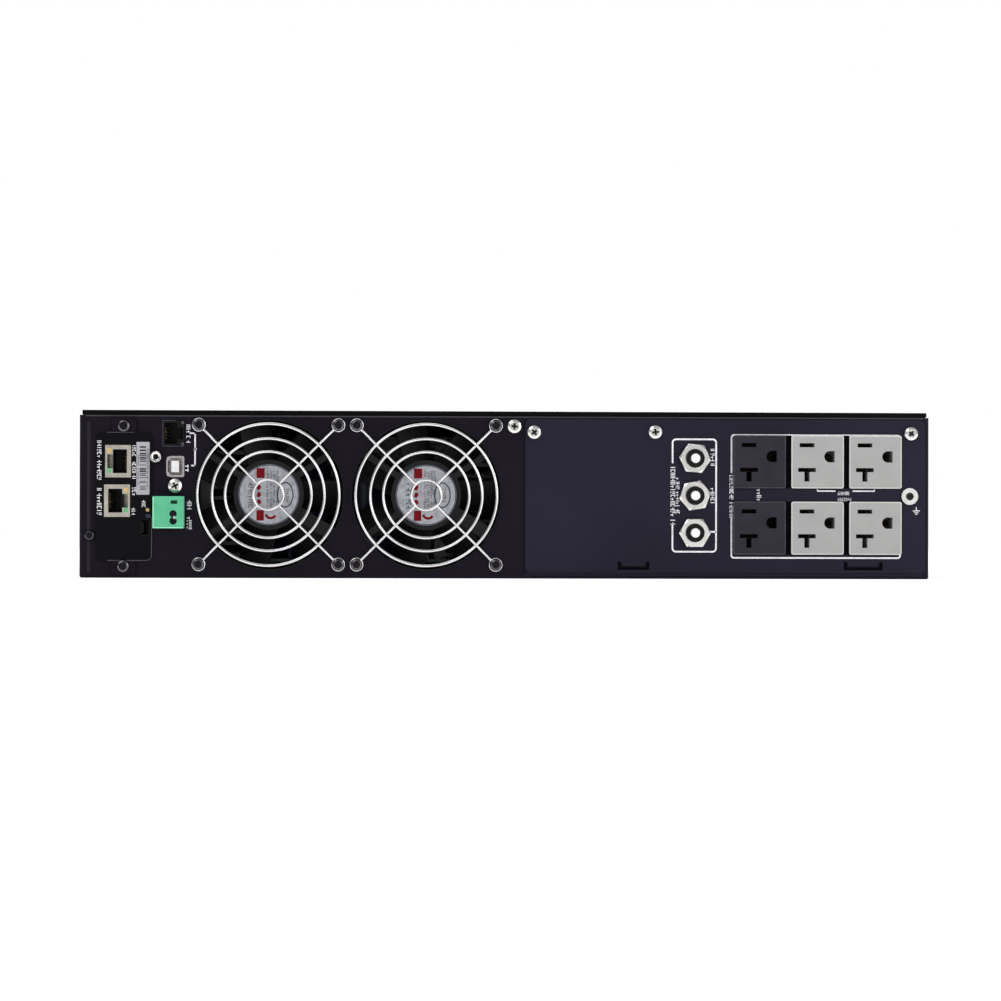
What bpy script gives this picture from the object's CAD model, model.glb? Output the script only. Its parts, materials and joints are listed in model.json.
import json
import math
import random

import bmesh
import bpy
from mathutils import Matrix, Vector


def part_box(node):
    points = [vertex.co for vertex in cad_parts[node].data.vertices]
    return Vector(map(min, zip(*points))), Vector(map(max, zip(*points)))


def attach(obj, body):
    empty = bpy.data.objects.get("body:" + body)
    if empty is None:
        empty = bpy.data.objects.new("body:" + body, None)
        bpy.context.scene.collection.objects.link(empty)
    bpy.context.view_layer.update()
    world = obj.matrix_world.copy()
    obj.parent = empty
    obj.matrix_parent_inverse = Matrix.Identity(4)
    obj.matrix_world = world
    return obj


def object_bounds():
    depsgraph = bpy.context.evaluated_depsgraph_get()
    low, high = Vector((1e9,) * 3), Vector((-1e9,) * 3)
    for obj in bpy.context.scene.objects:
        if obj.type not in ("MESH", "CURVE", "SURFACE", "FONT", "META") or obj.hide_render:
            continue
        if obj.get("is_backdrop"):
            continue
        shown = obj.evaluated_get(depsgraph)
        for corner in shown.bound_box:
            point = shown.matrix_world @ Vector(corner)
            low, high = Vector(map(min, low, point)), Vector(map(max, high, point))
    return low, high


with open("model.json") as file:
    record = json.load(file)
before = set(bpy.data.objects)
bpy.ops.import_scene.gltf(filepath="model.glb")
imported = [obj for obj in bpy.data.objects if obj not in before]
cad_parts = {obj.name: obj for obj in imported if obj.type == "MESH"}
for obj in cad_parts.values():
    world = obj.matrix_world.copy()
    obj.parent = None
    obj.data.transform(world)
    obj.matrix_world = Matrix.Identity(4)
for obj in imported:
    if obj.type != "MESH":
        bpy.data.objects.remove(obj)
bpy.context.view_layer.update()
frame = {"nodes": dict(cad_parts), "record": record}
nodes = frame["nodes"]

MM = 0.001


def box_mm(node):
    """The low and high corners of a CAD node's box, in millimetres."""
    low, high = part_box(node)
    return low / MM, high / MM


def rear_face(node):
    return box_mm(node)[0].y


def middle(node):
    """Centre of a CAD node's box as (x, z), in millimetres."""
    low, high = box_mm(node)
    return (low.x + high.x) / 2, (low.z + high.z) / 2


REAR = rear_face("chassis_pan")         # outer face of the rear wall, in millimetres
PLATE = rear_face("output_plate")       # outer face of the plates on it
FACE = box_mm("front_bezel")[1].y       # face of the front bezel
PRINT = 0.035                           # thickness of printed marks


def islands(node):
    """Centre x and z, rearmost y, half width and half height of each solid of a node, in millimetres."""
    bm = bmesh.new()
    bm.from_mesh(nodes[node].data)
    bmesh.ops.remove_doubles(bm, verts=bm.verts, dist=0.000001)
    left, found = set(bm.verts), []
    while left:
        stack = [left.pop()]
        part = list(stack)
        while stack:
            for edge in stack.pop().link_edges:
                for v in edge.verts:
                    if v in left:
                        left.remove(v)
                        stack.append(v)
                        part.append(v)
        xs, ys, zs = ([v.co[k] / MM for v in part] for k in range(3))
        found.append(((min(xs) + max(xs)) / 2, (min(zs) + max(zs)) / 2, min(ys),
                      (max(xs) - min(xs)) / 2, (max(zs) - min(zs)) / 2))
    bm.free()
    return sorted(found)


# ---------------------------------------------------------------- materials

def material(name, color, rough, metallic=0.0, specular=0.5, mottle=(60, 0.12), grain=(1500, 0.02),
             rough_spread=0.06, fleck=None, coat=0.0, tint=(1, 1, 1)):
    """A procedural material: mottled colour, uneven roughness and a fine bump, all in object space.
    grain is (scale per metre, depth in millimetres); fleck is (scale, threshold, colour)."""
    mat = bpy.data.materials.new(name)
    mat.use_nodes = True
    tree = mat.node_tree
    new, link = tree.nodes.new, tree.links.new
    shader = tree.nodes["Principled BSDF"]
    shader.inputs["Metallic"].default_value = metallic
    shader.inputs["Specular IOR Level"].default_value = specular
    shader.inputs["Coat Weight"].default_value = coat
    shader.inputs["Specular Tint"].default_value = (*tint, 1)
    place = new("ShaderNodeTexCoord")

    def noise(scale, detail=3.0):
        node = new("ShaderNodeTexNoise")
        node.inputs["Scale"].default_value = scale
        node.inputs["Detail"].default_value = detail
        link(place.outputs["Object"], node.inputs["Vector"])
        return node

    cloud = noise(mottle[0], 4.0)
    ramp = new("ShaderNodeValToRGB")
    ramp.color_ramp.elements[0].position = 0.3
    ramp.color_ramp.elements[1].position = 0.7
    for end, side in ((0, -1), (1, 1)):
        shade = [max(0.0, min(1.0, c * (1 + side * mottle[1]))) for c in color]
        ramp.color_ramp.elements[end].color = (*shade, 1)
    link(cloud.outputs["Fac"], ramp.inputs["Fac"])
    last = ramp.outputs["Color"]
    if fleck:
        dots = noise(fleck[0], 2.0)
        cut = new("ShaderNodeMapRange")
        cut.inputs["From Min"].default_value = fleck[1]
        cut.inputs["From Max"].default_value = fleck[1] + 0.05
        link(dots.outputs["Fac"], cut.inputs["Value"])
        mix = new("ShaderNodeMix")
        mix.data_type = "RGBA"
        link(cut.outputs["Result"], mix.inputs["Factor"])
        link(last, mix.inputs["A"])
        mix.inputs["B"].default_value = (*fleck[2], 1)
        last = mix.outputs["Result"]
    link(last, shader.inputs["Base Color"])
    streak = noise(mottle[0] * 2.7, 3.0)
    spread = new("ShaderNodeMapRange")
    spread.inputs["To Min"].default_value = max(0.02, rough - rough_spread)
    spread.inputs["To Max"].default_value = min(1.0, rough + rough_spread)
    link(streak.outputs["Fac"], spread.inputs["Value"])
    link(spread.outputs["Result"], shader.inputs["Roughness"])
    fine = noise(grain[0], 2.0)
    bump = new("ShaderNodeBump")
    bump.inputs["Distance"].default_value = grain[1] * MM
    bump.inputs["Strength"].default_value = 1.0
    link(fine.outputs["Fac"], bump.inputs["Height"])
    link(bump.outputs["Normal"], shader.inputs["Normal"])
    return mat


FINISHES = {}


def paint(name, *look, **details):
    FINISHES[name] = material(name, *look, **details)


paint("powder_coat", (0.0042, 0.0030, 0.0070), 0.46, specular=0.13, mottle=(14, 0.25), grain=(900, 0.03),
      fleck=(1700, 0.70, (0.013, 0.010, 0.018)), tint=(0.90, 0.80, 1.0))
paint("plate_coat", (0.0092, 0.0086, 0.0185), 0.46, specular=0.16, mottle=(14, 0.25), grain=(900, 0.03),
      fleck=(1700, 0.70, (0.020, 0.019, 0.032)), tint=(0.90, 0.84, 1.0))
paint("fan_label", (0.32, 0.325, 0.355), 0.5, mottle=(420, 0.25), grain=(1400, 0.01))
paint("lid_coat", (0.0014, 0.0012, 0.0017), 0.50, specular=0.06, mottle=(11, 0.2), grain=(900, 0.03))
paint("black_screw", (0.022, 0.020, 0.024), 0.26, metallic=1.0, mottle=(300, 0.3), grain=(2500, 0.01))
paint("nickel", (0.80, 0.785, 0.76), 0.24, metallic=1.0, mottle=(220, 0.08), grain=(2600, 0.012))
paint("guard_chrome", (0.80, 0.79, 0.80), 0.24, metallic=1.0, mottle=(120, 0.08), grain=(1800, 0.012))
paint("card_coat", (0.0012, 0.0008, 0.0020), 0.45, specular=0.10, mottle=(40, 0.25), grain=(1100, 0.03))
paint("board", (0.012, 0.085, 0.035), 0.35, mottle=(500, 0.35), grain=(900, 0.03),
      fleck=(420, 0.62, (0.03, 0.16, 0.07)))
paint("jack_shield", (0.50, 0.475, 0.42), 0.34, metallic=0.9, mottle=(300, 0.15), grain=(1500, 0.02))
paint("port_shell", (0.46, 0.43, 0.43), 0.32, metallic=0.9, mottle=(350, 0.15), grain=(1500, 0.02))
paint("paper_label", (0.35, 0.35, 0.38), 0.55, mottle=(90, 0.06), grain=(1400, 0.01))
paint("black_plastic", (0.0045, 0.0042, 0.0050), 0.5, specular=0.15, mottle=(80, 0.2), grain=(1300, 0.03))
paint("jack_plastic", (0.0040, 0.0040, 0.0045), 0.42, specular=0.15, mottle=(90, 0.2), grain=(1300, 0.02))
paint("green_plastic", (0.078, 0.41, 0.22), 0.42, mottle=(160, 0.12), grain=(1200, 0.03))
paint("fan_plastic", (0.0066, 0.0058, 0.0072), 0.5, specular=0.22, mottle=(70, 0.2), grain=(1200, 0.03))
paint("rotor_plastic", (0.0074, 0.0066, 0.0082), 0.46, specular=0.22, mottle=(60, 0.2), grain=(900, 0.02))
paint("outlet_black", (0.0150, 0.0128, 0.0210), 0.40, specular=0.22, mottle=(120, 0.15), grain=(1500, 0.02))
paint("outlet_grey", (0.305, 0.305, 0.30), 0.36, mottle=(110, 0.05), grain=(1500, 0.02))
paint("contact_brass", (0.018, 0.013, 0.007), 0.45, metallic=1.0, mottle=(300, 0.2), grain=(1500, 0.02))
paint("button_white", (0.82, 0.81, 0.79), 0.3, mottle=(200, 0.04), grain=(1500, 0.01))
paint("bezel_plastic", (0.013, 0.0125, 0.014), 0.55, mottle=(30, 0.15), grain=(1100, 0.05))
paint("lens", (0.006, 0.009, 0.010), 0.12, mottle=(30, 0.1), grain=(400, 0.003), coat=0.5)
paint("lcd", (0.04, 0.15, 0.16), 0.25, mottle=(400, 0.05), grain=(800, 0.005))
paint("key_plastic", (0.075, 0.075, 0.080), 0.5, mottle=(150, 0.1), grain=(1400, 0.02))
paint("power_key", (0.50, 0.51, 0.53), 0.35, mottle=(120, 0.06), grain=(1300, 0.015))
paint("zinc_sheet", (0.36, 0.365, 0.37), 0.38, metallic=0.9, mottle=(70, 0.14), grain=(500, 0.02),
      fleck=(260, 0.60, (0.40, 0.405, 0.41)))
paint("handle_plastic", (0.015, 0.015, 0.016), 0.42, mottle=(80, 0.15), grain=(1100, 0.04))
paint("battery_case", (0.045, 0.050, 0.060), 0.45, mottle=(50, 0.12), grain=(900, 0.04))
paint("lead_jacket", (0.42, 0.015, 0.015), 0.42, mottle=(140, 0.12), grain=(1100, 0.02))
paint("connector_grey", (0.10, 0.11, 0.12), 0.45, mottle=(120, 0.12), grain=(1100, 0.03))
paint("sink_aluminium", (0.10, 0.10, 0.105), 0.40, metallic=0.8, mottle=(60, 0.1), grain=(700, 0.03))
paint("capacitor_sleeve", (0.012, 0.025, 0.065), 0.3, mottle=(70, 0.15), grain=(700, 0.02))
paint("copper_winding", (0.42, 0.17, 0.06), 0.3, metallic=0.6, mottle=(260, 0.35), grain=(450, 0.15))
paint("relay_case", (0.012, 0.07, 0.26), 0.32, mottle=(100, 0.1), grain=(1000, 0.02))
# finishes of the added pieces only
paint("shadow_black", (0.0008, 0.0006, 0.0014), 0.7, specular=0.04, mottle=(200, 0.3), grain=(1500, 0.02))
paint("edge_sheen", (0.028, 0.025, 0.034), 0.40, specular=0.4, mottle=(120, 0.3), grain=(900, 0.03))
paint("print_white", (0.72, 0.70, 0.73), 0.55, mottle=(700, 0.18), grain=(2500, 0.004))
paint("print_grey", (0.040, 0.048, 0.080), 0.55, specular=0.1, mottle=(700, 0.25), grain=(2500, 0.004))
paint("print_red", (0.15, 0.002, 0.006), 0.5, specular=0.1, mottle=(500, 0.2), grain=(2500, 0.004))
paint("print_dark", (0.020, 0.020, 0.024), 0.5, specular=0.1, mottle=(500, 0.2), grain=(2500, 0.004))
paint("screw_rim", (0.12, 0.11, 0.12), 0.26, metallic=1.0, mottle=(700, 0.5), grain=(2500, 0.02))
paint("flange_coat", (0.0105, 0.0085, 0.0140), 0.42, specular=0.2, mottle=(30, 0.4), grain=(900, 0.03))
paint("outlet_edge", (0.52, 0.52, 0.50), 0.3, mottle=(200, 0.1), grain=(1500, 0.01))
paint("black_edge", (0.030, 0.027, 0.036), 0.3, mottle=(200, 0.4), grain=(1500, 0.01))
paint("green_edge", (0.30, 0.72, 0.50), 0.4, mottle=(300, 0.1), grain=(1500, 0.01))
paint("filter_foam", (0.0030, 0.0030, 0.0032), 0.9, specular=0.05, mottle=(500, 0.3), grain=(700, 0.3))
paint("led_amber", (0.55, 0.37, 0.14), 0.25, mottle=(600, 0.15), grain=(1500, 0.01))
paint("led_green", (0.12, 0.36, 0.17), 0.25, mottle=(600, 0.15), grain=(1500, 0.01))
paint("contact_gold", (0.72, 0.50, 0.20), 0.28, metallic=1.0, mottle=(900, 0.2), grain=(2500, 0.01))
paint("white_plastic", (0.68, 0.67, 0.68), 0.4, mottle=(400, 0.06), grain=(1500, 0.01))
paint("chip_epoxy", (0.014, 0.014, 0.015), 0.5, mottle=(300, 0.2), grain=(2500, 0.02))
paint("worn_edge", (0.045, 0.041, 0.052), 0.40, specular=0.5, mottle=(160, 0.5), grain=(1200, 0.03))
paint("lcd_segments", (0.42, 0.72, 0.74), 0.35, mottle=(700, 0.1), grain=(2500, 0.003))

# Nodes whose finish differs a little from that of their material slot.
ODD_FINISH = {"output_plate": "plate_coat", "fan_labels": "fan_label", "service_port": "jack_plastic"}

for part in frame["record"]["subparts"]:
    mesh = nodes[part["node"]].data
    mesh.materials.clear()
    mesh.materials.append(FINISHES[ODD_FINISH.get(part["node"], part["material_slot"])])


# ---------------------------------------------------------------- mesh building

class Piece:
    """Gathers closed solids into one mesh. Points are given in millimetres, outlines in X and Z.
    turn maps each point before it is used, so that the same outlines can be laid on other faces."""

    def __init__(self, name, *finishes, turn=None):
        self.name, self.finishes, self.bm = name, finishes, bmesh.new()
        self.turn = turn or (lambda p: p)

    def skin(self, loops, closed_ring=False, finish=0):
        """Skins a stack of equal loops of points and caps the ends."""
        rows = [[self.bm.verts.new(Vector(self.turn(p)) * MM) for p in loop] for loop in loops]
        n = len(rows[0])
        made = []
        for a, b in zip(rows, rows[1:] + (rows[:1] if closed_ring else [])):
            for i in range(n):
                j = (i + 1) % n
                made.append(self.bm.faces.new((a[i], a[j], b[j], b[i])))
        if not closed_ring:
            made.append(self.bm.faces.new(rows[0][::-1]))
            made.append(self.bm.faces.new(rows[-1]))
        for f in made:
            f.material_index = finish
        return made

    def prism(self, outline, y0, y1, finish=0):
        self.skin([[(x, y, z) for x, z in outline] for y in (y0, y1)], finish=finish)

    def band(self, outer, inner, y0, y1, finish=0):
        """A frame between two outlines of equal length."""
        self.skin([[(x, y0, z) for x, z in outer], [(x, y1, z) for x, z in outer],
                   [(x, y1, z) for x, z in inner], [(x, y0, z) for x, z in inner]], True, finish)

    def box(self, x0, x1, y0, y1, z0, z1, finish=0):
        self.prism([(x0, z0), (x1, z0), (x1, z1), (x0, z1)], y0, y1, finish)

    def strip(self, points, width, y0, y1, finish=0):
        """A flat line of one width through points in X and Z, with mitred corners."""
        pts = [Vector(p) for p in points]
        loops = []
        for i, p in enumerate(pts):
            a = (p - pts[i - 1]).normalized() if i else (pts[1] - p).normalized()
            b = (pts[i + 1] - p).normalized() if i + 1 < len(pts) else a
            along = (a + b).normalized()
            out = Vector((-along.y, along.x)) * (width / 2 / max(0.3, along.dot(a)))
            left, right = p + out, p - out
            loops.append([(left.x, y0, left.y), (left.x, y1, left.y), (right.x, y1, right.y),
                          (right.x, y0, right.y)])
        self.skin(loops, finish=finish)

    def disc(self, x, z, r, y0, y1, finish=0, sides=32, turn=0.0):
        self.prism(circle(x, z, r, sides, turn), y0, y1, finish)

    def lathe(self, x, z, profile, finish=0, sides=36):
        """A ring turned about the Y axis through (x, z); the profile holds (radius, y) points."""
        angles = [2 * math.pi * k / sides for k in range(sides)]
        loops = [[(x + r * math.cos(a), y, z + r * math.sin(a)) for a in angles] for r, y in profile]
        self.skin(loops, True, finish)

    def tube(self, path, r, finish=0, sides=10):
        """A round wire along a path of (x, y, z) points."""
        pts = [Vector(p) for p in path]
        loops = []
        side = None
        for i, p in enumerate(pts):
            d = (pts[min(i + 1, len(pts) - 1)] - pts[max(i - 1, 0)]).normalized()
            if side is None:
                side = d.orthogonal().normalized()
            side = (side - d * side.dot(d)).normalized()
            up = d.cross(side)
            loops.append([p + (side * math.cos(a) + up * math.sin(a)) * r
                          for a in (2 * math.pi * k / sides for k in range(sides))])
        self.skin(loops, finish=finish)

    def ride(self, body, slot, bevel=0.0, smooth=None):
        """Finishes the mesh and hangs it on a CAD body."""
        bmesh.ops.recalc_face_normals(self.bm, faces=self.bm.faces)
        mesh = bpy.data.meshes.new(self.name)
        self.bm.to_mesh(mesh)
        self.bm.free()
        obj = bpy.data.objects.new(self.name, mesh)
        bpy.context.scene.collection.objects.link(obj)
        for key in self.finishes:
            mesh.materials.append(FINISHES[key])
        if bevel:
            mod = obj.modifiers.new("edges", "BEVEL")
            mod.width, mod.segments, mod.limit_method = bevel * MM, 2, "ANGLE"
        if smooth is not None:
            mesh.shade_smooth()
            mesh.set_sharp_from_angle(angle=math.radians(smooth))
        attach(obj, body)
        return obj


def level(p):
    """Lays an outline on a level face: its second coordinate is Y, and y counts down from above."""
    return p[0], p[2], -p[1]


def flank(p):
    """Stands an outline on a face that looks to -X: it runs along Y and Z."""
    return p[1], p[0], p[2]


def circle(x, z, r, sides=32, turn=0.0):
    angles = [2 * math.pi * k / sides + turn for k in range(sides)]
    return [(x + r * math.cos(a), z + r * math.sin(a)) for a in angles]


def rounded(x0, x1, z0, z1, r, steps=5):
    """Outline of a rectangle with round corners."""
    r = max(r, 0.01)
    out = []
    centres = ((x1 - r, z1 - r), (x0 + r, z1 - r), (x0 + r, z0 + r), (x1 - r, z0 + r))
    for quarter, (cx, cz) in enumerate(centres):
        for k in range(steps + 1):
            t = math.radians(90 * quarter + 90 * k / steps)
            out.append((cx + r * math.cos(t), cz + r * math.sin(t)))
    return out


# Strokes of made-up print, in a cell 0.6 wide and 1 high.
GLYPHS = [
    [(0, 0, 0.17, 1), (0.17, 0.42, 0.5, 0.58)],
    [(0, 0, 0.5, 0.16), (0, 0.84, 0.5, 1), (0.33, 0.16, 0.5, 0.84)],
    [(0.16, 0, 0.34, 1)],
    [(0, 0, 0.17, 1), (0.34, 0, 0.5, 1)],
    [(0, 0.42, 0.5, 0.58), (0.16, 0.58, 0.34, 1)],
    [(0, 0, 0.17, 0.6), (0.17, 0.84, 0.5, 1), (0.34, 0, 0.5, 0.6)],
]


def print_rows(piece, x0, x1, z0, z1, y, seed, upright=False, rows=1, finish=0, gap=0.22):
    """Fills a rectangle with rows of strokes that look like small print and spell nothing.
    Upright print reads along X; otherwise it reads upwards along Z. y is the printed face."""
    rnd = random.Random(seed)
    along, across = (x1 - x0, z1 - z0) if upright else (z1 - z0, x1 - x0)
    pitch = across / rows
    size = pitch * (1 if rows == 1 else 1 - gap)
    for row in range(rows):
        u = 0.0
        while u + 0.5 * size < along:
            if rnd.random() < 0.13 and u > 0:
                u += 0.45 * size
                continue
            for a0, b0, a1, b1 in rnd.choice(GLYPHS):
                ua, ub = u + a0 * size, min(u + a1 * size, along)
                va, vb = row * pitch + b0 * size, row * pitch + b1 * size
                if upright:
                    piece.box(x0 + ua, x0 + ub, y - PRINT, y, z0 + va, z0 + vb, finish)
                else:
                    piece.box(x1 - vb, x1 - va, y - PRINT, y, z0 + ua, z0 + ub, finish)
            u += 0.68 * size


def print_line(piece, points, width, y, finish=0):
    """A printed line along X and Z through its corner points."""
    h = width / 2
    for (xa, za), (xb, zb) in zip(points, points[1:]):
        piece.box(min(xa, xb) - h, max(xa, xb) + h, y - PRINT, y, min(za, zb) - h, max(za, zb) + h, finish)


def print_frame(piece, x0, x1, z0, z1, r, width, y, left_gap=None, right_gap=None, finish=0):
    """A printed frame with round corners. A gap is a height range left out of that side."""
    path = rounded(x0 + width / 2, x1 - width / 2, z0 + width / 2, z1 - width / 2, r - width / 2)
    quarter = len(path) // 4
    top, bottom = path[:2 * quarter], path[2 * quarter:]
    (left_low, left_high), (right_low, right_high) = left_gap or (None, None), right_gap or (None, None)
    middle_z = (z0 + z1) / 2
    start = (path[0][0], right_high if right_gap else middle_z)
    turn = (path[2 * quarter][0], left_high if left_gap else middle_z)
    piece.strip([start] + top + [turn], width, y - PRINT, y, finish)
    start = (turn[0], left_low if left_gap else middle_z)
    turn = (path[0][0], right_low if right_gap else middle_z)
    piece.strip([start] + bottom + [turn], width, y - PRINT, y, finish)


# ---------------------------------------------------------------- rear: printed marks

# Rows of small print that read upwards: (x0, x1, z0, z1) of each, by the port or part beside it.
WALL_ROWS = [(-164.4, -162.3, 74.7, 78.8), (-164.4, -162.3, 69.4, 73.7),    # phone jack
             (-165.0, -162.0, 54.5, 59.4),                                  # USB port
             (-164.0, -161.5, 35.2, 41.5), (-164.0, -161.5, 25.0, 31.5)]    # plug block
PLATE_ROWS = [(84.6, 87.0, 28.0, 60.0), (87.3, 89.3, 33.6, 52.9),           # breakers, left of their frame
              (105.3, 107.4, 58.4, 67.2), (105.3, 107.4, 38.8, 47.2),       # breakers, right side
              (115.1, 117.2, 31.6, 54.8), (129.2, 131.6, 40.4, 46.6)]       # outlets
CARD_ROWS = [(-209.8, -207.6, 50.2, 71.4), (-209.8, -207.4, 32.2, 47.2),    # left of the network jacks
             (-191.9, -190.1, 62.3, 68.3), (-191.9, -190.1, 50.5, 60.2),    # right of the upper jack
             (-191.9, -189.7, 42.2, 47.3), (-192.2, -190.3, 32.4, 37.0),    # right of the lower jack
             (-187.0, -185.0, 36.1, 40.8)]                                  # lamp
LINE = 0.85                             # width of the printed frames' lines

marks = Piece("rear_print", "print_white")
for seed, area in enumerate(WALL_ROWS, 1):
    print_rows(marks, *area, REAR, seed)
print_line(marks, [(-162.3, 74.2), (-159.9, 74.2), (-159.9, 57.6), (-161.4, 57.6)], 0.75, REAR)
marks.disc(-159.8, 66.0, 0.75, REAR - PRINT, REAR)
for seed, area in enumerate(PLATE_ROWS, 6):
    print_rows(marks, *area, PLATE, seed)
print_frame(marks, 85.2, 108.6, 13.6, 72.4, 2.2, LINE, PLATE, left_gap=(28.4, 59.6))
print_line(marks, [(105.2, 24.3), (107.9, 24.3)], 0.9, PLATE)
print_frame(marks, 115.7, 204.1, 10.5, 74.7, 1.8, LINE, PLATE, left_gap=(31.9, 54.6), right_gap=(31.0, 55.0))
for bracket in ([(160.6, 46.3), (160.9, 45.5), (170.1, 45.5)], [(178.9, 45.5), (190.1, 45.5), (190.4, 46.3)]):
    marks.strip(bracket, 0.7, PLATE - PRINT, PLATE)
print_rows(marks, 171.3, 178.3, 43.4, 45.2, PLATE, 12, upright=True)
print_rows(marks, 171.3, 179.0, 40.4, 41.9, PLATE, 13, upright=True)

# The earth sign: a stem on three bars, each narrower than the one above it.
sign_x, sign_z = 212.1, 35.6
marks.prism([(sign_x - 0.2, sign_z + 1.8), (sign_x + 0.2, sign_z + 1.8), (sign_x + 0.2, sign_z),
             (sign_x + 1.8, sign_z), (sign_x + 1.8, sign_z - 0.5), (sign_x - 1.8, sign_z - 0.5),
             (sign_x - 1.8, sign_z), (sign_x - 0.2, sign_z)], PLATE - PRINT, PLATE)
for half, z in ((1.2, sign_z - 1.2), (0.5, sign_z - 2.0)):
    marks.box(sign_x - half, sign_x + half, PLATE - PRINT, PLATE, z - 0.2, z + 0.2)
marks.ride("chassis", "powder_coat")

card_marks = Piece("card_print", "print_white", "led_amber", "print_grey")
for seed, area in enumerate(CARD_ROWS, 20):
    print_rows(card_marks, *area, PLATE, seed)
card_marks.disc(-184.0, 34.8, 0.95, PLATE - PRINT, PLATE, 1)
card_marks.box(-184.9, -182.4, PLATE - PRINT, PLATE, 30.8, 32.6, 2)
card_marks.ride("card", "card_coat")

rims = Piece("card_rims", "worn_edge")
corner = rounded(-206.5, -181.9, 8.9, 70.0, 2.6)
corner = corner[3 * len(corner) // 4:]  # only the lower right one
rims.strip([(-204.5, 8.9)] + corner + [(-181.9, 31.0)], 0.42, PLATE - 0.05, PLATE)
rims.strip([(-205.0, 74.5), (-191.0, 74.5)], 0.3, PLATE - 0.05, PLATE)
rims.ride("card", "card_coat")

stud = Piece("card_stud_ring", "nickel")
stud_x, stud_z, stud_y = islands("card_screws")[-1][:3]
stud.lathe(stud_x, stud_z, [(1.5, stud_y - 0.05), (1.9, stud_y - 0.32), (2.6, stud_y - 0.28),
                            (3.0, stud_y + 0.15), (3.0, stud_y + 1.1), (1.5, stud_y + 1.1)])
stud.ride("card", "nickel", smooth=40)

sticker = Piece("card_sticker_bars", "print_dark")
low, high = box_mm("card_sticker")
rnd = random.Random(5)
z = high.z - 2.2
while z > low.z + 2.5:
    thick = rnd.choice((0.35, 0.5, 0.8))
    sticker.box(low.x + 1.7, low.x + 4.9, low.y - PRINT, low.y, z - thick, z)
    z -= thick + rnd.choice((0.35, 0.5, 0.9, 1.5))
print_rows(sticker, low.x + 5.2, low.x + 6.2, low.z + 3, high.z - 3, low.y, 31)
print_rows(sticker, low.x + 0.5, low.x + 1.3, low.z + 5, high.z - 6, low.y, 32)
sticker.ride("card", "paper_label")

# ---------------------------------------------------------------- rear: screw recesses, rims and shadow gaps

def recess(piece, x, z, arm, turn, y):
    """A dark cross-shaped recess in a screw head; arm is the cross's half width."""
    half = arm * 0.30
    cross = [(arm, -half), (arm, half), (half, half), (half, arm), (-half, arm), (-half, half),
             (-arm, half), (-arm, -half), (-half, -half), (-half, -arm), (half, -arm), (half, -half)]
    c, s = math.cos(turn), math.sin(turn)
    piece.prism([(x + a * c - b * s, z + a * s + b * c) for a, b in cross], y - 0.02, y + 0.6)


def screw_heads(node, body, slot, rimmed):
    """Recesses in every cross-headed screw of a node and, on the black ones, a lit rim."""
    heads = [h for h in islands(node) if node != "card_screws" or h[0] < stud_x - 5]
    dark = Piece(f"{node}_recesses", "jack_plastic")
    for k, (x, z, y, r, _) in enumerate(heads):
        recess(dark, x, z, 0.45 * r, 0.5 + 0.9 * k, y)      # each stopped at an angle of its own
    dark.ride(body, slot)
    if rimmed:
        rim = Piece(f"{node}_rims", "screw_rim")
        for x, z, y, r, _ in heads:
            rim.lathe(x, z, [(0.62 * r, y - 0.02), (0.88 * r, y + 0.50), (0.88 * r, y + 0.62),
                             (0.62 * r, y + 0.12)])
        rim.ride(body, slot)


screw_heads("black_screws", "chassis", "black_screw", True)
screw_heads("panel_screws", "chassis", "nickel", False)
screw_heads("card_screws", "card", "black_screw", True)

EDGE_X = 216.0                          # the wall's flat face ends this far from the middle
seam = Piece("wall_flange", "flange_coat", "edge_sheen", "plate_coat")
seam.strip([(-214.2, 80.0), (-214.2, 3.0)], 1.7, REAR - 0.04, REAR + 0.02)
seam.box(-EDGE_X, EDGE_X, REAR - 0.04, REAR + 0.02, 82.75, 83.48, 1)    # the bend under the cover
seam.box(9.6, EDGE_X, REAR - 0.04, REAR + 0.02, 1.6, 2.95, 2)           # the edge under the plate
seam.ride("chassis", "powder_coat", bevel=0.03)

ears = Piece("card_ear_coat", "powder_coat")
for x, z, *_ in islands("card_screws")[:2]:
    z0, z1 = (75.0, 82.2) if z > 40 else (1.6, 8.6)
    ears.band(rounded(x - 6.3, x + 6.3, z0, z1, 2.3, 7), circle(x, z, 1.7, 32, math.pi / 32),
              PLATE - 0.03, PLATE)
ears.ride("card", "card_coat")

gaps = Piece("outlet_surrounds", "shadow_black")
outlets = sorted(islands("outlets_black") + islands("outlets_grey"))    # neighbours are two apart
for (xa, z, _, wa, h), (xb, _, _, wb, _) in zip(outlets, outlets[2:]):
    gaps.box(xa + wa, xb - wb, PLATE - 0.15, PLATE + 0.02, z - h, z + h)
for x, wide in ((65.5, 7.6), (184.5, 9.5)):     # the plate's two tab slots
    gaps.strip([(x - wide, 8.9), (x - wide, 5.2), (x + wide, 5.2), (x + wide, 8.9)], 1.15,
               PLATE - 0.02, PLATE + 0.02)
gaps.ride("chassis", "black_plastic")

for node, coat in (("outlets_grey", "outlet_edge"), ("outlets_black", "black_edge")):
    edges = Piece(f"{node}_edges", coat)
    for x, z, y, w, h in islands(node):
        edges.band(rounded(x - w, x + w, z - h, z + h, 1.0),
                   rounded(x - w + 0.5, x + w - 0.5, z - h + 0.5, z + h - 0.5, 0.7), y - 0.03, y + 0.25)
    edges.ride("chassis", node.replace("outlets", "outlet"))

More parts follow.
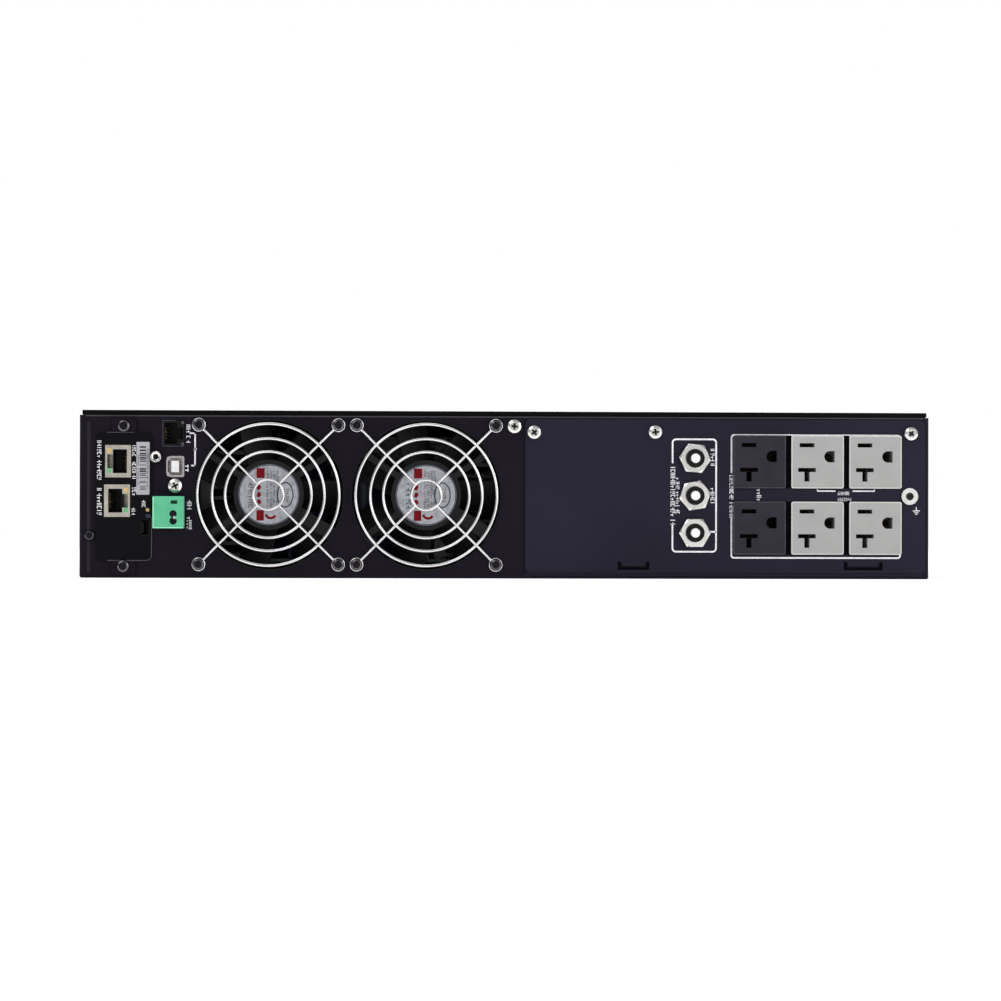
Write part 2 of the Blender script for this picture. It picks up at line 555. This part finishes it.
earth = Piece("ground_hole_shade", "chip_epoxy", "screw_rim")
gx, gz = middle("ground_terminal")
gy = rear_face("ground_terminal")
earth.lathe(gx, gz, [(1.60, gy - 0.03), (2.05, gy - 0.03), (2.05, gy + 0.2), (1.60, gy + 0.2)])
earth.lathe(gx, gz, [(0.4, gy + 2.5), (1.62, gy + 2.5), (1.62, gy + 3.0), (0.4, gy + 3.0)])
earth.lathe(gx, gz, [(3.5, gy - 0.01), (4.25, gy + 0.25), (4.35, gy + 0.6), (4.35, gy + 1.2),
                     (3.5, gy + 1.2)], 1)
earth.ride("chassis", "nickel", smooth=50)

# ---------------------------------------------------------------- rear: jacks and ports

JACKS = {"upper": (-199.1, 59.7, 1), "lower": (-199.6, 39.5, -1)}   # x, z and which way the jack is turned
CONTACT_PITCH = 1.02
CONTACT_R = 0.19


def network_jack(name, x, z, turn):
    """Liner, contacts and lamps of a jack whose latch side is at -turn along X."""
    face = rear_face("ethernet_jacks")
    piece = Piece(name, "jack_plastic", "contact_gold", "led_amber", "led_green")
    cx = x + 0.9 * turn
    piece.band(rounded(cx - 3.58, cx + 3.58, z - 6.08, z + 6.08, 0.2),
               rounded(cx - 3.2, cx + 3.2, z - 5.7, z + 5.7, 0.2), face + 0.5, face + 12.9)
    piece.box(cx - 3.4, cx + 3.4, face + 12.2, face + 12.95, z - 5.9, z + 5.9)
    for k in range(8):
        zk = z + (k - 3.5) * CONTACT_PITCH
        edge = cx + turn * 3.1
        piece.tube([(edge, face + 1.6, zk), (edge - turn * 0.5, face + 2.0, zk),
                    (edge - turn * 2.4, face + 7.5, zk), (edge - turn * 2.6, face + 12.3, zk)],
                   CONTACT_R, 1, 6)
    lx = x - turn * 4.65
    for lamp, dz in ((2, 5.45), (3, -4.75)):
        piece.prism(rounded(lx - 1.25, lx + 1.25, z + dz - 1.2, z + dz + 1.2, 0.25),
                    face - 0.12, face + 0.4, lamp)
    piece.ride("card", "jack_shield", bevel=0.05)


for name, place in JACKS.items():
    network_jack(f"{name}_jack_parts", *place)

shields = Piece("jack_shield_tabs", "jack_shield")
face = rear_face("ethernet_jacks")
for x, z, _ in JACKS.values():
    shields.band(rounded(x - 6.6, x + 6.6, z - 8.3, z + 8.3, 0.5),
                 rounded(x - 5.75, x + 5.75, z - 7.5, z + 7.5, 0.4), face - 0.3, face + 0.05)
    for dz in (-7.696, 7.696):
        shields.box(x - 2.0, x + 2.0, face - 0.42, face - 0.28, z + dz - 0.2, z + dz + 0.2)
shields.ride("card", "jack_shield", bevel=0.08)

usb_x, usb_z = -170.0, 57.1
TONGUE = (1.95, 2.95)                   # half width and half height of the USB tongue
face = rear_face("usb_b_port")


def usb_outline(w, h, cut):
    """The shell's outline: its two left corners are cut off, the right ones are only blunt."""
    return [(usb_x + w - 0.6, usb_z - h), (usb_x + w, usb_z - h + 0.6), (usb_x + w, usb_z + h - 0.6),
            (usb_x + w - 0.6, usb_z + h), (usb_x - w + cut, usb_z + h), (usb_x - w, usb_z + h - cut),
            (usb_x - w, usb_z - h + cut), (usb_x - w + cut, usb_z - h)]


usb = Piece("usb_b_parts", "white_plastic", "port_shell", "contact_gold")
usb.prism(rounded(usb_x - TONGUE[0], usb_x + TONGUE[0], usb_z - TONGUE[1], usb_z + TONGUE[1], 0.4),
          face - 0.15, face + 8, 0)
usb.band(usb_outline(4.6, 5.4, 2.2), usb_outline(3.75, 4.4, 1.8), face - 0.25, face + 0.1, 1)
for z in (usb_z - 1.2, usb_z + 1.2):
    for x in (usb_x - TONGUE[0], usb_x + TONGUE[0]):
        usb.box(x - 0.06, x + 0.06, face + 0.4, face + 7, z - 0.5, z + 0.5, 2)
usb.ride("chassis", "port_shell", bevel=0.1)

phone = Piece("phone_jack_parts", "contact_gold", "worn_edge", "jack_plastic")
px, pz = -170.9, 74.1
face = rear_face("rj12_jack")
for k in range(6):
    zk = pz + (k - 2.5) * CONTACT_PITCH
    phone.tube([(px - 4.2, face + 1.2, zk), (px - 3.6, face + 1.8, zk), (px - 2.1, face + 6, zk),
                (px - 1.9, face + 10.6, zk)], CONTACT_R, 0, 6)
phone.strip([(px + 1.0, pz + 6.6), (px - 5.5, pz + 6.6), (px - 5.5, pz - 6.6), (px + 5.5, pz - 6.6)], 0.3,
            face - 0.06, face + 0.1, 1)
for z in (pz - 5.5, pz + 5.5):
    phone.prism(rounded(px + 3.9, px + 5.4, z - 0.8, z + 0.8, 0.4), face - 0.15, face + 0.1, 1)
phone.ride("chassis", "jack_plastic", bevel=0.08)

low, high = box_mm("terminal_plug")
plug_x, plug_z = middle("terminal_plug")
clamp = Piece("plug_clamp_screws", "black_screw", "nickel")
for dz in (-0.8, -4.4):
    clamp.disc(plug_x + 2.5, plug_z + dz, 1.75, low.y + 4.2, low.y + 5.4, sides=20)
clamp.disc(plug_x + 3.0, plug_z - 2.6, 0.75, low.y + 2.6, low.y + 4.4, 1, sides=16)
clamp.ride("plug", "nickel", bevel=0.1)

grooves = Piece("plug_ribs", "green_plastic", "green_edge")
grooves.strip([(low.x + 0.3, high.z - 0.5), (low.x + 0.3, low.z + 0.35), (high.x - 0.4, low.z + 0.35)], 0.5,
              low.y - 0.06, low.y + 0.3, 1)
grooves.band(rounded(low.x + 0.7, high.x - 0.7, low.z + 0.7, high.z - 0.7, 0.6),
             rounded(low.x + 1.25, high.x - 1.25, low.z + 1.25, high.z - 1.25, 0.5),
             low.y - 0.02, low.y + 0.12)
grooves.box(low.x, low.x + 0.35, low.y + 0.6, low.y + 6, low.z + 1.4, high.z - 1.4)
grooves.ride("plug", "green_plastic", bevel=0.05)

service = Piece("service_port_parts", "jack_plastic", "contact_gold")
sx, sz = middle("service_port")
face = rear_face("service_port")
service.prism(rounded(sx - 1.55, sx - 0.85, sz - 2.7, sz + 2.7, 0.15), face + 0.3, face + 8)
service.box(sx - 0.85, sx - 0.72, face + 0.6, face + 7, sz - 2.2, sz + 2.2, 1)
service.ride("card", "port_shell", bevel=0.05)

# ---------------------------------------------------------------- rear: fans

def fan_label(number):
    """Made-up print on a fan's round label: red blocks, a red curl, rows of text and an oval stamp."""
    x, z = middle(f"fan_{number}_frame")
    y = rear_face("fan_labels")
    label = Piece(f"fan_{number}_label_print", "print_red", "print_grey", "paper_label", "print_dark")
    label.band(circle(x, z, 15.5, 48), circle(x, z, 15.0, 48), y - PRINT, y, 1)
    for x1, z0, z1 in ((-2.1, 8.6, 13.7), (-2.5, -13.3, -8.0)):
        label.prism(rounded(x - 6.3, x + x1, z + z0, z + z1, 0.3), y - PRINT, y, 0)
    for k, dz in enumerate((3.7, 0.0, -3.8)):
        label.prism([(x - 6.3, z + dz - 0.9), (x - 5.0, z + dz - 1.5), (x - 3.9, z + dz - 0.2 * k),
                     (x - 4.3, z + dz + 1.3), (x - 5.8, z + dz + 1.4)], y - PRINT, y, 0)
    curl = [(x + 1.0 + 2.3 * math.cos(math.radians(a)), z - 10.3 + 1.7 * math.sin(math.radians(a)))
            for a in range(170, 351, 20)]
    label.strip(curl, 1.3, y - PRINT, y, 0)
    print_rows(label, x - 10.4, x - 7.9, z - 6.8, z + 6.6, y, 40 + number, finish=3)
    print_rows(label, x - 1.6, x + 5.0, z - 7.5, z + 12.8, y, 50 + number, rows=4, finish=3, gap=0.25)
    print_rows(label, x + 6.4, x + 10.4, z - 3.6, z + 3.6, y, 60 + number, rows=2, finish=3)
    stamp = circle(0, 0, 4.3, 40)
    label.band([(x + 8.4 + a, z + 1.55 * b) for a, b in stamp],
               [(x + 8.4 + 0.85 * a, z + 1.395 * b) for a, b in stamp], y - PRINT, y, 1)
    label.ride("chassis", "paper_label")


for number in (1, 2):
    fan_label(number)

# ---------------------------------------------------------------- front: vents, display and keys

foam = Piece("vent_filter", "filter_foam")
inner = rear_face("front_panel")
foam.box(-214, -195, inner - 2.6, inner - 0.4, 10, 78)        # the side vent
foam.box(-192, -122, inner - 2.6, inner - 0.4, 4, 16.5)       # the vent under the display
foam.ride("chassis", "black_plastic", bevel=0.3)

lens_x, lens_z = middle("display_lens")
lens_y = box_mm("display_lens")[1].y
cells_y = lens_y + 0.03                 # the segments lie on the lit ground
screen = Piece("display_segments", "lcd_segments", "lcd")
screen.prism(rounded(lens_x - 27, lens_x + 27, lens_z - 14.5, lens_z + 14.5, 1), lens_y, cells_y, 1)


def segment(x0, x1, z0, z1):
    """A lit cell of the display, placed from the middle of the lens."""
    screen.prism(rounded(lens_x + x0, lens_x + x1, lens_z + z0, lens_z + z1, 0.3), cells_y, cells_y + 0.04, 0)


screen.band(rounded(lens_x + 2, lens_x + 22, lens_z + 3, lens_z + 11, 1),
            rounded(lens_x + 2.6, lens_x + 21.4, lens_z + 3.6, lens_z + 10.4, 0.7),
            cells_y, cells_y + 0.04, 0)
segment(22.3, 23.3, 5.4, 8.6)                                   # the battery symbol's tip
for k in range(5):
    segment(3.4 + 3.6 * k, 6.2 + 3.6 * k, 4.4, 9.6)             # its charge
for k in range(8):
    segment(-23 + 3.0 * k, -21 + 3.0 * k, 2.4, 3.4 + 1.0 * k)   # load bars
for row in range(3):
    for k in range(6):
        wide = 5.6 if (row + k) % 3 else 3.2
        segment(-22 + 7.6 * k, -22 + 7.6 * k + wide, -2.6 - 4 * row, -0.9 - 4 * row)
screen.ride("chassis", "lcd")

KEY_SIGN = 7.6                          # height of a key's symbol above the key
icons = Piece("bezel_print", "print_white")
x, z = middle("button_up")
z += KEY_SIGN
icons.prism([(x - 1.5, z - 0.9), (x + 1.5, z - 0.9), (x, z + 1.4)], FACE, FACE + PRINT)
x, z = middle("button_down")
z += KEY_SIGN
icons.prism([(x - 1.5, z + 1.1), (x, z - 1.2), (x + 1.5, z + 1.1)], FACE, FACE + PRINT)
x, z = middle("button_enter")
z += KEY_SIGN
icons.band(circle(x, z, 1.5, 20), circle(x, z, 1.0, 20), FACE, FACE + PRINT)
x, z = middle("power_button")
z += 9.6
arc = [math.radians(125 + 290 * k / 18) for k in range(19)]
rims = [[(x + r * math.cos(a), z + r * math.sin(a)) for r in (2.5, 1.9)] for a in arc]
icons.skin([[(ox, FACE, oz), (ox, FACE + PRINT, oz), (ix, FACE + PRINT, iz), (ix, FACE, iz)]
            for (ox, oz), (ix, iz) in rims])
icons.box(x - 0.3, x + 0.3, FACE, FACE + PRINT, z, z + 3.0)
icons.ride("chassis", "bezel_plastic")

lamps = Piece("front_lamps", "led_green", "led_amber", "print_red")
for k, z in enumerate((62, 54, 46)):
    lamps.disc(-120.5, z, 1.4, FACE - 1.2, FACE + 0.25, k, 24)
lamps.ride("chassis", "lens", bevel=0.25)

fascia_foam = Piece("fascia_filter", "filter_foam")
for x0, x1 in ((-89, 2), (118, 209)):
    fascia_foam.box(x0, x1, FACE - 5.4, FACE - 2.7, 7.5, 78.5)
fascia_foam.ride("fascia", "bezel_plastic", bevel=0.3)

# ---------------------------------------------------------------- battery drawer

BLOCK_TOP = box_mm("batteries")[1].z
blocks = [block for block in islands("batteries") if block[3] > 20]     # the rest are terminals
block_columns = sorted({round(x, 1) for x, _, _, _, _ in blocks})
block_rears = sorted({round(y, 1) for _, _, y, _, _ in blocks})
top = -BLOCK_TOP                        # outlines laid level count downwards from above
stickers = Piece("battery_labels", "paper_label", "print_dark", "print_red", "chip_epoxy", turn=level)
for cx in block_columns:
    outward = 1 if cx > middle("battery_tray")[0] else -1
    x0, x1 = sorted((cx + outward * 70, cx - outward * 4))
    for rear in block_rears:
        y0, y1 = rear + 14, rear + 80
        stickers.prism(rounded(x0, x1, y0, y1, 2), top - 0.12, top + 0.2, 0)
        stickers.prism(rounded(x0 + 2, x1 - 2, y1 - 14, y1 - 2.5, 1), top - 0.16, top, 1)
        print_rows(stickers, x0 + 5, x1 - 34, y0 + 6, y1 - 19, top - 0.12, 300 + int(cx) + int(y0),
                   upright=True, rows=6, finish=1, gap=0.5)
        stickers.band(circle(x1 - 18, y0 + 19, 9), circle(x1 - 18, y0 + 19, 8.2), top - 0.15, top, 1)
        stickers.box(x1 - 22, x1 - 14, top - 0.15, top, y0 + 18.4, y0 + 19.6, 2)
        stickers.box(x1 - 18.6, x1 - 17.4, top - 0.15, top, y0 + 15, y0 + 23, 2)
stickers.ride("drawer", "paper_label")

seams = Piece("battery_lid_seams", "chip_epoxy")
for x, _, y, half_w, _ in blocks:
    seams.box(x - half_w - 0.04, x + half_w + 0.04, y - 0.04, y + 0.1, BLOCK_TOP - 9.5, BLOCK_TOP - 8.8)
seams.ride("drawer", "battery_case")

LEAD_R = 1.7
low, high = box_mm("battery_leads")
lead_z = high.z - LEAD_R
ends = Piece("lead_ends", "lead_jacket", "copper_winding", "chip_epoxy")
for x in (low.x + LEAD_R, high.x - LEAD_R):
    ends.disc(x, lead_z, 2.5, high.y - 14, high.y - 1, 2, 24)
    ends.prism(rounded(x - 2.4, x + 2.4, lead_z - 0.6, lead_z + 0.6, 0.4), high.y - 1.5, high.y + 5, 1)
    ends.box(x - 2.4, x + 2.4, high.y + 4.2, high.y + 5, lead_z - 5.0, lead_z + 0.6, 1)
    for y in (high.y - 34, high.y - 74, high.y - 114):      # saddle clips
        ends.tube([(x - 5.2, y, lead_z - 1.6), (x - 2.2, y, lead_z + 1.9), (x + 2.2, y, lead_z + 1.9),
                   (x + 5.2, y, lead_z - 1.6)], 0.8, 2, 8)
ends.ride("drawer", "lead_jacket", bevel=0.15)

# ---------------------------------------------------------------- circuit boards

PARTS = ("chip_epoxy", "nickel", "capacitor_sleeve", "white_plastic", "contact_brass")
CHIP, METAL, SLEEVE, SOCKET, BRASS = range(5)
SIZES = {"c": (9, 6), "r": (3.2, 1.6), "d": (2.2, 1.4), "k": (5, 5), "p": (7, 3)}
# c is a chip, r a resistor, d a small diode, k a can capacitor and p a plug socket


def chip_on(piece, u, v, w, h, y, rise):
    """A package with legs on its two long sides, standing on face y of a board."""
    piece.prism(rounded(u - w / 2, u + w / 2, v - h / 2, v + h / 2, 0.3), y - rise, y - 0.15, CHIP)
    count = max(2, int(w / 2.0))
    for k in range(count):
        leg = u - w / 2 + (k + 0.5) * w / count
        for foot in (v - h / 2 - 0.6, v + h / 2 + 0.6):
            piece.box(leg - 0.3, leg + 0.3, y - 0.5, y, foot - 0.6, foot + 0.6, METAL)


def scatter(piece, area, y, seed, count, keep_off=(), tall=1.6):
    """Small parts and solder marks spread over a board face without touching each other."""
    rnd = random.Random(seed)
    u0, u1, v0, v1 = area
    taken = list(keep_off)
    for _ in range(count * 6):
        if count <= 0:
            break
        kind = rnd.choice("crrdkp")
        w, h = SIZES[kind]
        if rnd.random() < 0.4:
            w, h = h, w
        u, v = rnd.uniform(u0 + w, u1 - w), rnd.uniform(v0 + h, v1 - h)
        place = (u - w / 2 - 1.2, u + w / 2 + 1.2, v - h / 2 - 1.2, v + h / 2 + 1.2)
        if any(place[0] < t[1] and place[1] > t[0] and place[2] < t[3] and place[3] > t[2] for t in taken):
            continue
        taken.append(place)
        count -= 1
        if kind == "c" and w > h:
            chip_on(piece, u, v, w, h, y, tall)
        elif kind == "k":
            rise = min(tall * 3.2, 8)
            piece.disc(u, v, 2.4, y - rise, y, SLEEVE, 20)
            piece.disc(u, v, 2.1, y - rise - 0.05, y, METAL, 20)
        elif kind == "p":
            piece.prism(rounded(u - w / 2, u + w / 2, v - h / 2, v + h / 2, 0.3), y - tall * 1.5, y, SOCKET)
        else:
            left, right, low_v, high_v = u - w / 2, u + w / 2, v - h / 2, v + h / 2
            piece.box(left, right, y - 0.6, y, low_v, high_v, CHIP if kind == "r" else BRASS)
            if w > h:                   # its two metal ends
                piece.box(left - 0.05, left + w / 4, y - 0.65, y, low_v - 0.05, high_v + 0.05, METAL)
                piece.box(right - w / 4, right + 0.05, y - 0.65, y, low_v - 0.05, high_v + 0.05, METAL)


low, high = box_mm("power_board")
board_rear, face = low.y, -high.z
power = Piece("power_board_parts", *PARTS, turn=level)
# kept free for both heat sinks and the capacitors between them
taken = [(-166, -128, board_rear + 10, board_rear + 176), (-42, -4, board_rear + 10, board_rear + 176),
         (-126, -56, board_rear + 14, board_rear + 170)]
scatter(power, (low.x + 4, high.x - 4, low.y + 4, high.y - 4), face, 71, 40, taken, 2.6)
for x in (-163.5, -39.5):               # transistors along the heat sinks
    for k in range(6):
        y = board_rear + 32 + k * 24
        power.box(x - 2.2, x + 2.2, face - 20, face - 4, y - 5, y + 5, CHIP)
        for leg in (y - 2.5, y, y + 2.5):
            power.box(x - 0.4, x + 0.4, face - 4.2, face, leg - 0.4, leg + 0.4, METAL)
power.ride("chassis", "board", bevel=0.12)

low, high = box_mm("output_board")
board_rear, board_top = low.y, high.z
output = Piece("output_board_parts", *PARTS, turn=level)
# kept free for the relays, the toroids and the transformer
taken = [(18, 196, board_rear + 6, board_rear + 48), (16, 146, board_rear + 74, board_rear + 146),
         (140, 206, board_rear + 72, board_rear + 146)]
scatter(output, (low.x + 4, high.x - 4, low.y + 4, high.y - 4), -board_top, 72, 36, taken, 2.6)
output.ride("chassis", "board", bevel=0.12)

low, high = box_mm("card_pcb")
face = low.x + 6.0                      # of the board: the CAD's large chip stands 6 mm off it
card_parts = Piece("card_parts", *PARTS, turn=flank)
# kept free for that chip and the jacks
taken = [(low.y + 42, low.y + 66, 26, 56), (low.y, low.y + 22, 20, 74)]
scatter(card_parts, (low.y + 4, high.y - 10, low.z + 5, high.z - 5), face, 73, 26, taken, 1.8)
for k in range(18):                     # gold fingers at the card's inner edge
    z = low.z + 8 + 2.54 * k
    card_parts.box(high.y - 7, high.y - 0.5, face - 0.05, face, z, z + 1.6, BRASS)
card_parts.ride("card", "board", bevel=0.08)

low, high = box_mm("comms_board")
comms = Piece("comms_parts", *PARTS, turn=lambda p: (-p[1], p[0], p[2]))
scatter(comms, (low.y + 4, high.y - 3, low.z + 3, high.z - 3), -high.x, 74, 16, (), 1.6)
comms.ride("chassis", "board", bevel=0.08)

low, high = box_mm("display_board")
panel_parts = Piece("display_board_parts", *PARTS)
scatter(panel_parts, (low.x + 3, high.x - 3, low.z + 3, high.z - 3), low.y, 75, 18, (), 1.4)
panel_parts.ride("chassis", "board", bevel=0.08)

# ---------------------------------------------------------------- wound parts, capacitors and relays

TURNS = 34
TURN_POINTS = 14
RING_R = 17.0                           # middle of the toroid's section, from its axis
WIND_R = 11.2                           # of one turn of wire round that section
coils = Piece("toroid_windings", "copper_winding")
cy, cz = board_rear + 110, board_top + 10.5
for cx in (50, 110):                    # both toroids stand at one depth
    path = []
    for k in range(TURNS * TURN_POINTS + 1):
        a, b = math.radians(25 + 310 * k / (TURNS * TURN_POINTS)), 2 * math.pi * k / TURN_POINTS
        rho = RING_R + WIND_R * math.cos(b)
        path.append((cx + rho * math.cos(a), cy + rho * math.sin(a),
                     max(cz + WIND_R * math.sin(b), board_top + 0.5)))
    coils.tube(path, 0.65, 0, 6)
coils.ride("chassis", "copper_winding", smooth=60)

core = Piece("transformer_core", "connector_grey", "paper_label", turn=level)
x0, x1, y0, y1, top = 145, 200, board_rear + 78, board_rear + 140, -(board_top + 48)  # the CAD block
for left, right in ((x0 - 0.4, x0 + 12), (x1 - 12, x1 + 0.4)):
    core.prism(rounded(left, right, y0 - 0.4, y1 + 0.4, 1), top - 0.5, -board_top - 1, 0)
core.prism(rounded(x0 + 16, x1 - 16, y0 + 10, y1 - 10, 1), top - 0.2, top + 0.5, 1)
core.ride("chassis", "copper_winding", bevel=0.4)

tops = Piece("capacitor_tops", "nickel", "chip_epoxy", turn=level)
top = -box_mm("dc_capacitors")[1].z
for x, _, y, r, _ in islands("dc_capacitors"):
    cy = y + r
    tops.disc(x, cy, r - 1.6, top - 0.1, top + 0.5, 0, 40)
    tops.band(circle(x, cy, r - 0.2, 40), circle(x, cy, r - 1.5, 40), top - 0.35, top + 0.4, 1)
    for w, h in ((r - 5, 0.25), (0.25, r - 5)):     # the scored cross of the vent
        tops.box(x - w, x + w, top - 0.14, top, cy - h, cy + h, 1)
tops.ride("chassis", "capacitor_sleeve", bevel=0.1)

relay_print = Piece("relay_print", "print_white", turn=level)
top = -box_mm("relays")[1].z
for k, (x, _, y, _, _) in enumerate(islands("relays")):
    print_rows(relay_print, x - 8, x + 8, y + 6, y + 22, top, 80 + k, upright=True, rows=4, gap=0.4)
relay_print.ride("chassis", "relay_case")

# ---------------------------------------------------------------- edges of the CAD parts

SOFTENED = {"card_faceplate": 0.35, "output_plate": 0.3, "outlets_black": 0.35, "outlets_grey": 0.35,
            "terminal_plug": 0.4, "top_cover": 0.4, "front_bezel": 0.5, "battery_fascia": 0.5,
            "breaker_nuts": 0.7}


def soften(node, width):
    """Rounds the sharp edges of a CAD node a little, so that they catch the light."""
    weld = nodes[node].modifiers.new("weld", "WELD")
    weld.merge_threshold = 0.00001
    mod = nodes[node].modifiers.new("edges", "BEVEL")
    mod.width, mod.segments, mod.limit_method = width * MM, 2, "ANGLE"
    mod.angle_limit = math.radians(35)
    mod.harden_normals = False


for node, width in SOFTENED.items():
    soften(node, width)

# ---------------------------------------------------------------- room, light and camera

FLOOR = 8                               # half width, in metres
floor_mesh = bpy.data.meshes.new("floor")
floor_mesh.from_pydata([(-FLOOR, -FLOOR, 0), (FLOOR, -FLOOR, 0), (FLOOR, FLOOR, 0), (-FLOOR, FLOOR, 0)], [],
                       [(0, 1, 2, 3)])
floor = bpy.data.objects.new("floor", floor_mesh)
bpy.context.scene.collection.objects.link(floor)
paper = material("floor_paper", (0.86, 0.86, 0.87), 0.7, mottle=(2, 0.02), grain=(60, 0.05))
paper_shader = paper.node_tree.nodes["Principled BSDF"]
paper_shader.inputs["Emission Color"].default_value = (1, 1, 1, 1)
paper_shader.inputs["Emission Strength"].default_value = 0.45
floor_mesh.materials.append(paper)
floor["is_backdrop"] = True

# A white world: full strength to the camera, twice WORLD_LIGHT to diffuse rays, once to the rest.
WORLD_LIGHT = 0.35
world = bpy.data.worlds.new("studio")
bpy.context.scene.world = world
world.use_nodes = True
tree = world.node_tree
sky = tree.nodes["Background"]
sky.inputs["Color"].default_value = (1, 1, 1, 1)
rays = tree.nodes.new("ShaderNodeLightPath")
diffuse = tree.nodes.new("ShaderNodeMath")
diffuse.operation = "MULTIPLY_ADD"
diffuse.inputs[1].default_value = WORLD_LIGHT
diffuse.inputs[2].default_value = WORLD_LIGHT
tree.links.new(rays.outputs["Is Diffuse Ray"], diffuse.inputs[0])
seen = tree.nodes.new("ShaderNodeMath")
seen.operation = "MAXIMUM"
tree.links.new(rays.outputs["Is Camera Ray"], seen.inputs[0])
tree.links.new(diffuse.outputs[0], seen.inputs[1])
tree.links.new(seen.outputs[0], sky.inputs["Strength"])


def softbox(name, place, target, size, power):
    """A rectangular lamp at one place in metres, turned to another; power is in watts."""
    data = bpy.data.lights.new(name, "AREA")
    data.shape, data.size, data.size_y = "RECTANGLE", size[0], size[1]
    data.energy = power
    lamp = bpy.data.objects.new(name, data)
    bpy.context.scene.collection.objects.link(lamp)
    lamp.location = place
    lamp.rotation_euler = (Vector(target) - Vector(place)).to_track_quat("-Z", "Y").to_euler()


softbox("key", (-0.9, -1.2, 1.3), (0, -0.24, 0.04), (1.2, 0.8), 6)
softbox("fill", (0.92, -1.22, 0.42), (0.16, -0.24, 0.04), (0.9, 0.8), 5.6)
softbox("top", (0.0, -0.1, 1.8), (0, 0, 0), (1.6, 1.2), 7)
softbox("front", (-0.6, 1.8, 1.1), (0, 0.25, 0.04), (1.2, 0.8), 9)

CAMERA_X, CAMERA_Z = -0.0670, 0.0257    # in metres
CAMERA_REACH = 1.6                      # from the rear wall, in metres
YAW, PITCH, ROLL = (math.radians(angle) for angle in (2.288, 0.517, 0.143))
cam_data = bpy.data.cameras.new("camera")
cam = bpy.data.objects.new("camera", cam_data)
bpy.context.scene.collection.objects.link(cam)
bpy.context.scene.camera = cam
cam_data.sensor_width = 36              # in millimetres, like the focal length
cam_data.lens = 111.87
cam_data.clip_end = 30
cam.location = (CAMERA_X, REAR * MM - CAMERA_REACH, CAMERA_Z)
forward = Vector((math.sin(YAW) * math.cos(PITCH), math.cos(YAW) * math.cos(PITCH), math.sin(PITCH)))
cam.rotation_euler = (forward.to_track_quat("-Z", "Y").to_matrix() @ Matrix.Rotation(ROLL, 3, "Z")).to_euler()

bpy.context.scene.view_settings.view_transform = "Standard"

low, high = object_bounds()
